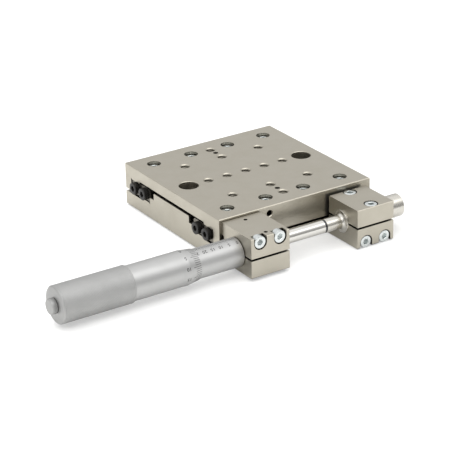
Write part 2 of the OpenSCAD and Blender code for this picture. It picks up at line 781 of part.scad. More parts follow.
// Disc spring between the thimble's rear wall and the grip's end, round the end screw
module disc_spring() {
  hole_r = end_shank_r + 0.3;
  t = disc_spring_t;
  rear_x = grip_wall_x + face_fit;
  color(bright_steel) on_axis() turned([
    [rear_x, hole_r], [rear_x + t, hole_r], [thimble_rear_x - face_fit, disc_spring_r],
    [thimble_rear_x - face_fit - t, disc_spring_r]
  ]);
}

// End screw: its shank holds the grip and ends in the spindle
module end_screw() {
  c = turned_chamfer;
  head_x = grip_rear_x - face_fit;
  shank_end_x = thimble_rear_x + end_shank_in - c;
  color(bright_steel) on_axis() turned([
    [knob_rear_x, 0], [knob_rear_x, end_knob_d / 2 - c], [knob_rear_x + c, end_knob_d / 2],
    [head_x, end_knob_d / 2], [head_x, end_shank_r], [shank_end_x, end_shank_r], [shank_end_x, 0]
  ]);
}

// Grip sleeve, closed at its rear end
module grip_sleeve() {
  rim = 0.8;
  inner_r = thimble_tail_r + shell_fit;
  hole_r = end_shank_r + shell_fit;
  color(satin_chrome) on_axis() turned([
    [grip_front_x, inner_r], [grip_front_x, grip_d / 2 - rim / 2], [grip_front_x - rim / 2, grip_d / 2],
    [grip_rear_x + rim, grip_d / 2], [grip_rear_x, grip_d / 2 - rim], [grip_rear_x, hole_r],
    [grip_wall_x, hole_r], [grip_wall_x, inner_r]
  ]);
}

// Spring pins stand in the base's channels and hang from the table
module base_spring_pins() {
  color(bright_steel) for (side = stage_sides)
    translate([base_pin_x, side * spring_y, channel_z - pin_depth])
      cylinder(d = pin_d, h = pin_depth + centre_z - channel_z - pin_clear);
}

module table_spring_pins() {
  color(bright_steel) for (side = stage_sides)
    translate([table_pin_x, side * spring_y, channel_z + pin_clear])
      cylinder(d = pin_d, h = relief_z + pin_depth - channel_z - pin_clear);
}

// The wire's path: a flat loop round the table's pin, the coil, and a flat loop round the base's pin
loop_points = 10;
turn_points = 8;
coil_x0 = table_pin_x + loop_r + hook_l;
coil_x1 = base_pin_x - loop_r - hook_l;
function loop_path(x, way) = [
  for (i = [0 : loop_points]) let (a = way * (i * 330 / loop_points - 165))
    [x + way * loop_r * cos(a), loop_r * sin(a), 0]
];
function coil_path() = [
  for (i = [0 : spring_turns * turn_points]) let (a = i * 360 / turn_points)
    [coil_x0 + (coil_x1 - coil_x0) * i / (spring_turns * turn_points), coil_r * cos(a), coil_r * sin(a)]
];
function reversed(list) = [for (i = [len(list) - 1 : -1 : 0]) list[i]];
function wire_path() = concat(
  loop_path(table_pin_x, -1), coil_path(), reversed(loop_path(base_pin_x, 1))
);

// A round wire of few sides, swept along a list of points
function unit(v) = v / norm(v);
function direction(path, i) = unit(path[min(i + 1, len(path) - 1)] - path[max(i - 1, 0)]);
function across(u, t) = unit(u - (u * t) * t);
function frames(path) = [
  for (i = 0, u = across([0, 0, 1], direction(path, 0)); i < len(path);
      i = i + 1, u = across(u, direction(path, min(i, len(path) - 1)))) u
];
module wire(path, d, sides = 6) {
  sideways = frames(path);
  rings = [for (i = [0 : len(path) - 1], k = [0 : sides - 1])
    let (t = direction(path, i), u = sideways[i], v = cross(t, u), a = k * 360 / sides)
      path[i] + d / 2 * (cos(a) * u + sin(a) * v)];
  last = (len(path) - 1) * sides;
  polyhedron(rings, concat(
    [[for (k = [0 : sides - 1]) sides - 1 - k]],
    [for (i = [0 : len(path) - 2], k = [0 : sides - 1]) let (j = (k + 1) % sides)
      [i * sides + k, i * sides + j, (i + 1) * sides + j]],
    [for (i = [0 : len(path) - 2], k = [0 : sides - 1]) let (j = (k + 1) % sides)
      [i * sides + k, (i + 1) * sides + j, (i + 1) * sides + k]],
    [[for (k = [0 : sides - 1]) last + k]]
  ));
}

module return_spring(side) {
  color(bright_steel) translate([0, side * spring_y, spring_z]) wire(wire_path(), wire_d);
}

base_plate();
inner_rail(front);  // inner_rail_front
inner_rail(back);  // inner_rail_back
inner_rail_screws();
end_screws(inner_screw_y);  // inner_end_screws
anvil_block();
anvil_clamp_cap();
anvil_block_screws();
anvil_clamp_screws();
anvil_post();
base_spring_pins();
return_spring(front);  // return_spring_front
return_spring(back);  // return_spring_back
table_plate();
outer_rail(front);  // outer_rail_front
outer_rail(back);  // outer_rail_back
table_rail_screws();
end_screws(outer_screw_y);  // outer_end_screws
micrometer_block();
micrometer_clamp_cap();
micrometer_block_screws();
micrometer_clamp_screws();
table_spring_pins();
stem_barrel();
graduated_sleeve();
adjusting_nut();
cage(front);  // cage_front
rollers(front);  // rollers_front
cage(back);  // cage_back
rollers(back);  // rollers_back
spindle();
spindle_tip();
thimble();
disc_spring();
end_screw();
grip_sleeve();
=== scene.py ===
"""Linear translation stage on crossed roller guideways, dressed for its studio picture.

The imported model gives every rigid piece. This script gives them their finishes, builds the pieces whose
fine shape matters to the eye, and sets the floor, the light and the camera. All sizes are in millimetres in
the model's own frame: X along the travel, -Y the micrometer's side, +Z up, origin under the base's middle.
"""
import logging
import math
from dataclasses import dataclass
from enum import Enum
from typing import Callable, Iterable, Sequence

import bmesh
import bpy
from mathutils import Matrix, Vector


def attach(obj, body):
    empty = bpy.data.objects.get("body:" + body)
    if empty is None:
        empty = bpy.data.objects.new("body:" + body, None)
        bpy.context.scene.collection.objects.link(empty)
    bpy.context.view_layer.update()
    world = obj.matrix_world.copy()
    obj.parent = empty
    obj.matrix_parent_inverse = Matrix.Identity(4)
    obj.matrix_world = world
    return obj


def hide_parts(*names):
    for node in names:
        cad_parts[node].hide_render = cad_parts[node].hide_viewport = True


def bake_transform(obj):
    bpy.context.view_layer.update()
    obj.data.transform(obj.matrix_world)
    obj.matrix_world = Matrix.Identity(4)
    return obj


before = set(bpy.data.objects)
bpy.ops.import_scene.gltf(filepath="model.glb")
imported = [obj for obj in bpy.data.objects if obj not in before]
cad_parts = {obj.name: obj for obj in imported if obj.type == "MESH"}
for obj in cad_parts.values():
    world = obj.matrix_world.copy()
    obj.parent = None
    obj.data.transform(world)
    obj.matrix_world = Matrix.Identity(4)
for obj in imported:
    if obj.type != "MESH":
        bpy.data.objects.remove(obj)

logging.basicConfig(level=logging.INFO, format="%(message)s")
LOG = logging.getLogger("stage")

MM = 0.001
PHOTO_PIXELS = 449
SENSOR_MM = 36.0

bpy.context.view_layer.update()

Outline = Sequence[tuple[float, float]]
Colour = tuple[float, float, float, float]


def linear(code: str) -> Colour:
    """Turns an sRGB hex colour into the linear colour that a shader wants.

    Args:
        code: Six hex digits after a number sign.

    Returns:
        Red, green, blue and an alpha of 1.
    """
    parts = [int(code[i:i + 2], 16) / 255 for i in (1, 3, 5)]
    flat = [p / 12.92 if p <= 0.04045 else ((p + 0.055) / 1.055) ** 2.4 for p in parts]
    return (flat[0], flat[1], flat[2], 1.0)


def add(tree: bpy.types.NodeTree, kind: str, settings: dict | None = None,
        **sockets: object) -> bpy.types.Node:
    """Adds a shader node with its settings, values and links.

    Args:
        tree: The node tree that gets the node.
        kind: The node's Blender type.
        settings: Properties of the node itself.
        sockets: Inputs, by name with underscores for spaces or by number after an i. Each has a value or
            the output socket to link.

    Returns:
        The new node.
    """
    node = tree.nodes.new(kind)
    for key, value in (settings or {}).items():
        setattr(node, key, value)
    for key, value in sockets.items():
        name = key.replace("_", " ")
        target = node.inputs[int(name[1:])] if name[0] == "i" and name[1:].isdigit() else node.inputs[name]
        if isinstance(value, bpy.types.NodeSocket):
            tree.links.new(value, target)
        else:
            target.default_value = value
    return node


# Painted shade: bores, slits and inner corners are coloured darker where little open air reaches them, in
# place of the shade that falls there
RECESS_SHADE_COLOUR = "#262420"
# Shares of open air at which a face shows all painted shade, and at which it shows none
FULL_SHADE_AIR = 0.20
UNSHADED_AIR = 0.44


class Lay(Enum):
    """The way the tool marks run on a surface. Each value stretches the noise along X, Y and Z."""

    NONE = (1.0, 1.0, 1.0)
    ALONG_X = (0.04, 1.0, 1.0)
    TURNED = (1.0, 0.03, 0.03)


@dataclass(frozen=True)
class MetalFinish:
    """One surface as it was made, most of them metals. Lengths are in millimetres."""

    name: str
    colour: str
    stain: str
    roughness: float
    spread: float
    grain: float
    lay: Lay
    bump: float
    metallic: float = 1.0
    stain_size: float = 9.0
    rounding: float = 0.06
    # How far the ambient occlusion looks for walls, which sets the reach of the painted shade in recesses
    recess: float = 3.0

    def build(self) -> bpy.types.Material:
        """Makes the material: tool marks in the bump, slow changes of colour and gloss, and painted shade in
        recesses.

        Returns:
            The material.
        """
        material = bpy.data.materials.new(self.name)
        material.use_nodes = True
        tree = material.node_tree
        tree.nodes.clear()
        place = add(tree, "ShaderNodeTexCoord").outputs["Object"]
        millimetres = 1 / MM
        marks_at = add(tree, "ShaderNodeMapping", i0=place,
                       Scale=tuple(millimetres / self.grain * s for s in self.lay.value))
        marks = add(tree, "ShaderNodeTexNoise", Vector=marks_at.outputs[0], Scale=1.0, Detail=3.0,
                    Roughness=0.6)
        patches = add(tree, "ShaderNodeTexNoise", Vector=place, Scale=millimetres / self.stain_size,
                      Detail=2.0, Roughness=0.5)
        tint = add(tree, "ShaderNodeMix", {"data_type": "RGBA"}, i0=patches.outputs["Fac"],
                   i6=linear(self.colour), i7=linear(self.stain))
        # Painted shade: ambient occlusion blends the colour towards the dark shade colour in bores, slits
        # and inner corners
        open_air = add(tree, "ShaderNodeAmbientOcclusion", {"samples": 12}, Distance=self.recess * MM)
        shown = add(tree, "ShaderNodeMapRange", Value=open_air.outputs["AO"], i1=FULL_SHADE_AIR, i2=UNSHADED_AIR,
                    i3=0.0, i4=1.0)
        shade_tint = add(tree, "ShaderNodeMix", {"data_type": "RGBA"}, i0=shown.outputs[0],
                   i6=linear(RECESS_SHADE_COLOUR), i7=tint.outputs[2])
        mottle = add(tree, "ShaderNodeMath", {"operation": "MULTIPLY"}, i0=marks.outputs["Fac"],
                     i1=patches.outputs["Fac"])
        gloss = add(tree, "ShaderNodeMapRange", Value=mottle.outputs[0], i1=0.1, i2=0.45,
                    i3=self.roughness - self.spread, i4=self.roughness + self.spread)
        soft = add(tree, "ShaderNodeBevel", {"samples": 6}, Radius=self.rounding * MM)
        relief = add(tree, "ShaderNodeBump", Strength=1.0, Distance=self.bump * MM,
                     Height=marks.outputs["Fac"], Normal=soft.outputs[0])
        shader = add(tree, "ShaderNodeBsdfPrincipled", Base_Color=shade_tint.outputs[2], Metallic=self.metallic,
                     Roughness=gloss.outputs[0], Normal=relief.outputs[0])
        add(tree, "ShaderNodeOutputMaterial", Surface=shader.outputs[0])
        return material


# Steel plates, milled and ground, then satin nickel plated: a warm grey with a fine, even grain
NICKEL_PLATE = MetalFinish("satin_nickel_plated_steel", "#B7B2A6", "#AFAA9D", 0.38, 0.05, 0.35,
                           Lay.ALONG_X, 0.004, rounding=0.12, recess=8.0)
# Hardened rail steel, ground along its length: greyer and a little glossier than the plates, partly its own
# grey and partly painted shade for the rails' ends, which lie in the dark
GROUND_RAIL = MetalFinish("ground_rail_steel", "#77736B", "#66625B", 0.36, 0.06, 0.25, Lay.ALONG_X, 0.003)
# Socket screws in bright zinc: almost white with a cold touch, and small blotches
BRIGHT_ZINC = MetalFinish("zinc_plated_screw_steel", "#DCDFDE", "#C9CFCF", 0.27, 0.06, 0.6, Lay.NONE, 0.003,
                          stain_size=2.0, recess=1.2)
# Black oxide, oiled: near black, with a soft grey sheen
BLACK_OXIDE = MetalFinish("black_oxide_steel", "#262422", "#1B1A19", 0.42, 0.07, 0.5, Lay.NONE, 0.004,
                          metallic=0.35, stain_size=3.0)
# Sleeve and thimble, turned and satin chromed: neutral, with rings too fine to count
SATIN_CHROME = MetalFinish("satin_chromed_steel", "#BFBFBE", "#B7B7B6", 0.48, 0.04, 0.30, Lay.TURNED, 0.003,
                           recess=0.6)
# The knurled grip and its end screw, matt chromed: darker and duller than the thimble
MATT_CHROME = MetalFinish("matt_chromed_knurl", "#B6B6B5", "#ACACAB", 0.60, 0.05, 0.30, Lay.NONE, 0.004)
# The spindle, ground and lapped: bright, and far glossier than the sleeve
LAPPED_STEEL = MetalFinish("lapped_spindle_steel", "#D6D4CF", "#CCCAC5", 0.16, 0.03, 0.30, Lay.TURNED, 0.001)
# The anvil post, fine turned: bright, with visible rings
TURNED_STEEL = MetalFinish("turned_steel", "#CCC9C2", "#C2BFB7", 0.27, 0.04, 0.35, Lay.TURNED, 0.003)
# The spindle's tip of cemented carbide, ground: dark grey, with a clean gloss
CARBIDE = MetalFinish("ground_cemented_carbide", "#5E5E60", "#535355", 0.26, 0.03, 0.20, Lay.TURNED, 0.001)
# Threads in the table's holes: plated like it, but painted darker as the shade deep in the holes
CUT_THREAD = MetalFinish("thread_steel_painted_shade", "#7F7B71", "#6B675E", 0.42, 0.06, 0.40, Lay.NONE, 0.003)
# Rollers of bearing steel, polished
ROLLER_STEEL = MetalFinish("roller_bearing_steel", "#D2D1CE", "#C8C7C4", 0.14, 0.03, 0.30, Lay.NONE, 0.001)
# Cages stamped from sheet brass
CAGE_BRASS = MetalFinish("cage_brass", "#B79A5C", "#A5884C", 0.36, 0.06, 0.40, Lay.ALONG_X, 0.003)
# Spring steel, for the wire and the disc spring: grey, with short fine marks
SPRING_WIRE = MetalFinish("spring_steel", "#9A9894", "#85837F", 0.30, 0.05, 0.20, Lay.NONE, 0.002)
# Dowel steel of the spring pins, ground
DOWEL_STEEL = MetalFinish("dowel_steel", "#C2C0BB", "#B5B3AE", 0.24, 0.04, 0.30, Lay.NONE, 0.002)
# Paint in the engraved lines and numbers: matt, almost black
SCALE_PAINT = MetalFinish("scale_paint", "#2B2A28", "#222120", 0.60, 0.06, 0.30, Lay.NONE, 0.002,
                          metallic=0.0, rounding=0.01)


class Bench:
    """Makes pieces from bare meshes, and gives CAD nodes and pieces their finish."""

    def __init__(self) -> None:
        """Starts with no material made."""
        self._made: dict[str, bpy.types.Material] = {}

    def material(self, finish: MetalFinish) -> bpy.types.Material:
        """Returns the finish's material, and makes it the first time."""
        if finish.name not in self._made:
            self._made[finish.name] = finish.build()
        return self._made[finish.name]

    def coat(self, thing: bpy.types.Object, finish: MetalFinish) -> None:
        """Gives an object one finish all over."""
        thing.data.materials.clear()
        thing.data.materials.append(self.material(finish))
        for face in thing.data.polygons:
            face.material_index = 0

    def dress_node(self, name: str, finish: MetalFinish) -> None:
        """Gives a CAD node its finish."""
        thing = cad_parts[name]
        self.coat(thing, finish)
        LOG.info("node %s: %s, %d faces", name, finish.name, len(thing.data.polygons))

    def piece(self, name: str, mesh: bmesh.types.BMesh, finish: MetalFinish, body: str | None, slot: str,
              replaces: Sequence[str] = (), smooth_deg: float = 35.0) -> bpy.types.Object:
        """Turns a mesh in millimetres into a dressed piece that rides on a body.

        Args:
            name: The piece's name.
            mesh: The mesh, which is freed here.
            finish: Its finish.
            body: The CAD body it moves with, or None for a piece that rides on no body.
            slot: The record's material slot; not used here.
            replaces: CAD nodes that it stands for.
            smooth_deg: Edges sharper than this stay sharp.

        Returns:
            The piece.
        """
        data = bpy.data.meshes.new(name)
        bmesh.ops.recalc_face_normals(mesh, faces=mesh.faces)
        mesh.to_mesh(data)
        mesh.free()
        data.transform(Matrix.Scale(MM, 4))
        data.shade_smooth()
        data.set_sharp_from_angle(angle=math.radians(smooth_deg))
        thing = bpy.data.objects.new(name, data)
        bpy.context.scene.collection.objects.link(thing)
        self.coat(thing, finish)
        if body:
            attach(thing, body)
        if replaces:
            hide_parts(*replaces)
        LOG.info("piece %s on %s: %d faces", name, body or "two bodies", len(data.polygons))
        return thing


def quads(mesh: bmesh.types.BMesh, made: Sequence[Sequence[bmesh.types.BMVert]]) -> None:
    """Joins each ring of corners to the next one with quads.

    Args:
        mesh: The mesh that gets the faces.
        made: The rings of its corners, in order and all with the same number.
    """
    count = len(made[0])
    for low, high in zip(made, made[1:]):
        for k in range(count):
            j = (k + 1) % count
            mesh.faces.new((low[k], low[j], high[j], high[k]))


def fan(mesh: bmesh.types.BMesh, ring: Sequence[bmesh.types.BMVert], tip: Vector) -> None:
    """Closes a ring of corners with triangles.

    Args:
        mesh: The mesh that gets the faces.
        ring: The ring of its corners.
        tip: Where the triangles meet.
    """
    middle = mesh.verts.new(tip)
    for k in range(len(ring)):
        mesh.faces.new((ring[k], ring[(k + 1) % len(ring)], middle))


def tube(mesh: bmesh.types.BMesh, rows: Sequence[Sequence[Vector]]) -> None:
    """Skins a row of rings and closes both ends with one face each.

    Args:
        mesh: The mesh that gets the faces.
        rows: The rings' points, in order and all with the same number.
    """
    made = [[mesh.verts.new(p) for p in row] for row in rows]
    quads(mesh, made)
    mesh.faces.new(made[0])
    mesh.faces.new(made[-1])


def lathe(outline: Outline, axis_y: float, axis_z: float, segments: int = 128) -> bmesh.types.BMesh:
    """Turns an outline about an axis along X.

    Args:
        outline: Points of place along X and radius, of which the first and the last lie on the axis.
        axis_y: The axis's place across the travel.
        axis_z: The axis's height.
        segments: Faces round the piece.

    Returns:
        The mesh in millimetres.
    """
    mesh = bmesh.new()
    turns = [2 * math.pi * k / segments for k in range(segments)]
    made = [
        [mesh.verts.new(Vector((x, axis_y - r * math.sin(a), axis_z + r * math.cos(a)))) for a in turns]
        for x, r in outline[1:-1]
    ]
    quads(mesh, made)
    fan(mesh, made[0], Vector((outline[0][0], axis_y, axis_z)))
    fan(mesh, made[-1], Vector((outline[-1][0], axis_y, axis_z)))
    return mesh


def arc(cx: float, cr: float, radius: float, start: float, end: float,
        steps: int = 10) -> list[tuple[float, float]]:
    """Gives the points of an arc in an outline.

    Args:
        cx: The centre's place along X.
        cr: The centre's distance from the axis.
        radius: The arc's radius.
        start: Its first angle in degrees from +X towards the outside.
        end: Its last angle.
        steps: Number of stretches.

    Returns:
        Points of place along X and radius.
    """
    angles = [math.radians(start + (end - start) * i / steps) for i in range(steps + 1)]
    return [(cx + radius * math.cos(a), cr + radius * math.sin(a)) for a in angles]


def helix_ridge(mesh: bmesh.types.BMesh, section: Outline, pitch: float, length: float, place: Matrix,
                per_turn: int = 28) -> None:
    """Sweeps a small closed section along a screw line, as a thread's ridge that fades at both ends.

    Args:
        mesh: The mesh that gets the ridge.
        section: Points of radius and height.
        pitch: Rise of one turn.
        length: Length of the thread.
        place: Puts the thread, which rises along +Z, where it belongs.
        per_turn: Steps in one turn.
    """
    steps = int(length / pitch * per_turn)
    base = section[0][0]
    rows = []
    for i in range(steps + 1):
        a = 2 * math.pi * i / per_turn
        fade = min(1.0, i / per_turn * 2, (steps - i) / per_turn * 2)
        rows.append([
            place @ Vector((
                (base + (r - base) * fade) * math.cos(a),
                (base + (r - base) * fade) * math.sin(a),
                h * max(fade, 0.05) + pitch * i / per_turn,
            ))
            for r, h in section
        ])
    tube(mesh, rows)


@dataclass(frozen=True)
class SocketScrew:
    """A cap screw with a knurled head, a hexagon socket and a cut thread. It points down from its seat."""

    shank_d: float
    head_d: float
    head_h: float
    socket_af: float
    length: float
    pitch: float
    flutes: int = 36
    flute_depth: float = 0.09
    head_inset: float = 0.005
    columns: int = 144

    def add_to(self, mesh: bmesh.types.BMesh, place: Matrix) -> None:
        """Adds the screw to a mesh.

        Args:
            mesh: The mesh that gets the screw.
            place: Puts the seat of the head where it belongs.
        """
        half = self.head_d / 2 - self.head_inset
        edge = self.head_h * 0.1
        depth = self.head_h * 0.55
        root = self.shank_d / 2 - self.pitch * 0.55
        top = self.head_h
        point = 0.3
        collar = 0.25
        mouth = 0.18
        drill_cone = 0.5

        def knurl(a: float) -> float:
            """Radius of the fluted side at an angle."""
            return half - self.flute_depth * (0.5 - 0.5 * math.cos(a * self.flutes)) ** 2

        def hexagon(a: float, grow: float = 0.0) -> float:
            """Radius of the socket's wall at an angle."""
            turn = (math.degrees(a) + 30) % 60 - 30
            return (self.socket_af / 2 + grow) / math.cos(math.radians(turn))

        rows: list[tuple[float, Callable[[float], float]]] = [
            (-self.length, lambda a: root * 0.8),
            (-self.length + point, lambda a: root),
            (-collar, lambda a: root),
            (-collar, lambda a: self.shank_d / 2),
            (0.0, lambda a: self.shank_d / 2),
            (0.0, lambda a: half - 0.25),
            (0.2, lambda a: half - 0.05),
            (0.35, knurl),
            (top - edge - 0.45, knurl),
            (top - edge - 0.15, lambda a: half),
            (top - edge, lambda a: half),
            (top - edge * 0.3, lambda a: half - edge * 0.3),
            (top, lambda a: half - edge),
            (top, lambda a: hexagon(a, mouth)),
            (top - mouth, hexagon),
            (top - depth, hexagon),
            (top - depth, lambda a: self.socket_af / 2 * 0.9),
        ]
        turns = [2 * math.pi * k / self.columns for k in range(self.columns)]
        made = [
            [mesh.verts.new(place @ Vector((f(a) * math.cos(a), f(a) * math.sin(a), z))) for a in turns]
            for z, f in rows
        ]
        quads(mesh, made)
        fan(mesh, made[0], place @ Vector((0.0, 0.0, -self.length)))
        fan(mesh, made[-1], place @ Vector((0.0, 0.0, top - depth - drill_cone)))
        crest = self.shank_d / 2 - 0.03
        foot = root - 0.05
        flank = self.pitch * 0.46
        flat = self.pitch * 0.06
        section = [(foot, -flank), (crest, -flat), (crest, flat), (foot, flank)]
        start = Matrix.Translation((0, 0, -self.length + flank + 0.2))
        helix_ridge(mesh, section, self.pitch, self.length - 2 * flank - 0.6, place @ start)


M4_RAIL = SocketScrew(4.0, 7.0, 4.0, 3.0, 10.0, 0.7)
M4_BLOCK = SocketScrew(4.0, 7.0, 4.0, 3.0, 30.0, 0.7)
M4_CLAMP = SocketScrew(4.0, 7.0, 4.0, 3.0, 14.0, 0.7)
M4_END = SocketScrew(4.0, 7.0, 2.8, 3.0, 7.0, 0.7, flutes=40)


def facing(direction: Sequence[float], seat: Sequence[float], spin_deg: float = 0.0) -> Matrix:
    """Gives the place of a screw whose head looks in a direction.

    Args:
        direction: Where the head's top looks.
        seat: The middle of the head's underside.
        spin_deg: Turn of the screw about its own axis.

    Returns:
        The matrix.
    """
    turn = Vector((0, 0, 1)).rotation_difference(Vector(direction)).to_matrix().to_4x4()
    return Matrix.Translation(seat) @ turn @ Matrix.Rotation(math.radians(spin_deg), 4, "Z")


@dataclass(frozen=True)
class Layout:
    """Places that several sub-assemblies share, as the model has them."""

    height: float = 25.5
    axis_y: float = -64.4
    axis_z: float = 12.1
    rail_end: float = 49.5
    rail_screw_seat: float = 5.6
    rail_screws_x: tuple[float, ...] = (-37.5, -12.5, 12.5, 37.5)
    rail_mid_z: float = 13.5
    inner_screw_y: float = 28.5
    outer_screw_y: float = 38.6
    clamp_screw_y: float = 9.7
    block_screw_pitch: float = 12.5
    block_screw_z: float = 9.0
    seat_y: float = -74.3
    clamp_seat: float = 6.6


LAYOUT = Layout()
STAGE_SIDES = (-1, 1)


@dataclass
class Stage:
    """What stands still: base, inner rails, anvil clamp and anvil post."""

    bench: Bench
    layout: Layout = LAYOUT
    anvil_block_x: float = 32.75
    block_width: float = 24.3
    anvil_reach: float = 12.3
    anvil_d: float = 7.8
    blend_r: float = 1.8
    shank_d: float = 13.0
    shank_front: float = 1.2
    shank_out: float = 14.0

    def build(self) -> None:
        """Dresses the nodes and builds the pieces of the base."""
        for name in ("base_plate", "anvil_block", "anvil_clamp_cap"):
            self.bench.dress_node(name, NICKEL_PLATE)
        for name in ("inner_rail_front", "inner_rail_back"):
            self.bench.dress_node(name, GROUND_RAIL)
        self.bench.dress_node("base_spring_pins", DOWEL_STEEL)
        self.rail_screws()
        self.block_screws()
        self.post()

    def rail_screws(self) -> None:
        """Builds the screws of the inner rails, from below and at the rails' ends."""
        mesh = bmesh.new()
        for i, x in enumerate(self.layout.rail_screws_x):
            for side in STAGE_SIDES:
                seat = (x, side * self.layout.inner_screw_y, self.layout.rail_screw_seat)
                M4_RAIL.add_to(mesh, facing((0, 0, -1), seat, 17 * i))
        self.bench.piece("inner_rail_screw_set", mesh, BRIGHT_ZINC, "base", "zinc_plated_screw_steel",
                         ["inner_rail_screws"])
        end_screws(self.bench, "inner_end_screw_set", "inner_end_screws", "base", self.layout.inner_screw_y)

    def block_screws(self) -> None:
        """Builds the screws of the anvil's clamp."""
        lay = self.layout
        mesh = bmesh.new()
        for i, s in enumerate((-0.5, 0.5)):
            x = self.anvil_block_x + s * lay.block_screw_pitch
            seat = (x, lay.seat_y, lay.axis_z - lay.block_screw_z)
            M4_BLOCK.add_to(mesh, facing((0, -1, 0), seat, 21 + 34 * i))
        self.bench.piece("anvil_block_screw_set", mesh, BRIGHT_ZINC, "base", "zinc_plated_screw_steel",
                         ["anvil_block_screws"])
        mesh = bmesh.new()
        for i, s in enumerate(STAGE_SIDES):
            seat = (self.anvil_block_x, lay.axis_y + s * lay.clamp_screw_y, lay.axis_z + lay.clamp_seat)
            M4_CLAMP.add_to(mesh, facing((0, 0, 1), seat, 10 + 25 * i))
        self.bench.piece("anvil_clamp_screw_set", mesh, BRIGHT_ZINC, "base", "zinc_plated_screw_steel",
                         ["anvil_clamp_screws"])

    def post(self) -> None:
        """Builds the anvil post: its face, its neck, the blend and the shank."""
        left = self.anvil_block_x - self.block_width / 2
        face = left - self.anvil_reach
        front = left - self.shank_front
        rear = self.anvil_block_x + self.block_width / 2 + self.shank_out
        edge = 0.2
        chamfer = 0.5
        centre_r = 1.2
        neck = self.anvil_d / 2
        shank = self.shank_d / 2
        outline = [(face, 0), (face, neck - edge)]
        outline += arc(face + edge, neck - edge, edge, 180, 90, 4)
        outline += arc(front - self.blend_r, neck + self.blend_r, self.blend_r, 270, 360, 14)
        outline += arc(front + edge, shank - edge, edge, 180, 90, 4)
        outline += [(rear - chamfer, shank), (rear, shank - chamfer)]
        outline += [(rear, centre_r), (rear - centre_r, 0)]
        mesh = lathe(outline, self.layout.axis_y, self.layout.axis_z)
        self.bench.piece("anvil_post_turned", mesh, TURNED_STEEL, "base", "turned_steel", ["anvil_post"])


def end_screws(bench: Bench, name: str, node: str, body: str, y: float) -> None:
    """Builds the four black screws in one set of rail ends.

    Args:
        bench: Makes the piece.
        name: The piece's name.
        node: The CAD node that it replaces.
        body: The body that it rides on.
        y: The screws' distance from the stage's middle.
    """
    mesh = bmesh.new()
    for i, side in enumerate(STAGE_SIDES):
        for k, end in enumerate((-1, 1)):
            seat = (end * LAYOUT.rail_end, side * y, LAYOUT.rail_mid_z)
            M4_END.add_to(mesh, facing((end, 0, 0), seat, 13 * i + 29 * k))
    bench.piece(name, mesh, BLACK_OXIDE, body, "black_oxide_steel", [node])


@dataclass
class Table:
    """What the micrometer moves: table, outer rails and the micrometer's clamp."""

    bench: Bench
    layout: Layout = LAYOUT
    block_x: float = -36.25
    grid: float = 25.0
    far_hole_y: float = 37.5
    far_hole_depth: float = 6.5
    plate_t: float = 6.7
    core_r: float = 2.5
    m6_pitch: float = 1.0
    chamfer: float = 0.6

    def build(self) -> None:
        """Dresses the nodes and builds the pieces of the table."""
        for name in ("table_plate", "micrometer_block", "micrometer_clamp_cap"):
            self.bench.dress_node(name, NICKEL_PLATE)
        for name in ("outer_rail_front", "outer_rail_back"):
            self.bench.dress_node(name, GROUND_RAIL)
        self.bench.dress_node("table_spring_pins", DOWEL_STEEL)
        self.screws()
        self.threads()

    def screws(self) -> None:
        """Builds the screws of the outer rails and of the micrometer's clamp."""
        lay = self.layout
        mesh = bmesh.new()
        for i, x in enumerate(lay.rail_screws_x):
            for k, side in enumerate(STAGE_SIDES):
                seat = (x, side * lay.outer_screw_y, lay.height - lay.rail_screw_seat)
                M4_RAIL.add_to(mesh, facing((0, 0, 1), seat, 23 * i + 11 * k))
        self.bench.piece("table_rail_screw_set", mesh, BRIGHT_ZINC, "table", "zinc_plated_screw_steel",
                         ["table_rail_screws"])
        end_screws(self.bench, "outer_end_screw_set", "outer_end_screws", "table", lay.outer_screw_y)
        mesh = bmesh.new()
        for i, s in enumerate((-0.5, 0.5)):
            x = self.block_x + s * lay.block_screw_pitch
            seat = (x, lay.seat_y, lay.axis_z + lay.block_screw_z)
            M4_BLOCK.add_to(mesh, facing((0, -1, 0), seat, 15 + 40 * i))
        self.bench.piece("micrometer_block_screw_set", mesh, BRIGHT_ZINC, "table", "zinc_plated_screw_steel",
                         ["micrometer_block_screws"])
        mesh = bmesh.new()
        for i, s in enumerate(STAGE_SIDES):
            seat = (self.block_x, lay.axis_y + s * lay.clamp_screw_y, lay.axis_z - lay.clamp_seat)
            M4_CLAMP.add_to(mesh, facing((0, 0, -1), seat, 31 * i))
        self.bench.piece("micrometer_clamp_screw_set", mesh, BRIGHT_ZINC, "table", "zinc_plated_screw_steel",
                         ["micrometer_clamp_screws"])

    def threads(self) -> None:
        """Builds the ridges of the M6 threads in the table's holes."""
        through = [(x * self.grid / 2, 0.0) for x in range(-2, 3)]
        through += [(x * self.grid, side * self.grid) for x in (-1, 0, 1) for side in STAGE_SIDES]
        holes = [(x, y, self.plate_t) for x, y in through]
        holes += [(0.0, side * self.far_hole_y, self.far_hole_depth) for side in STAGE_SIDES]
        mesh = bmesh.new()
        foot = self.core_r + 0.06
        crest = self.core_r - 0.32
        flank = 0.44
        flat = 0.07
        section = [(foot, -flank), (crest, -flat), (crest, flat), (foot, flank)]
        for x, y, depth in holes:
            length = depth - self.chamfer - 0.7
            low = self.layout.height - self.chamfer - length - 0.2
            helix_ridge(mesh, section, self.m6_pitch, length, Matrix.Translation((x, y, low)))
        self.bench.piece("table_hole_threads", mesh, CUT_THREAD, "table", "satin_nickel_plated_steel")


@dataclass
class Guides:
    """The crossed roller guideways' cages and rollers."""

    bench: Bench

    def build(self) -> None:
        """Dresses the cages and the rollers."""
        for side in ("front", "back"):
            self.bench.dress_node(f"cage_{side}", CAGE_BRASS)
            self.bench.dress_node(f"rollers_{side}", ROLLER_STEEL)


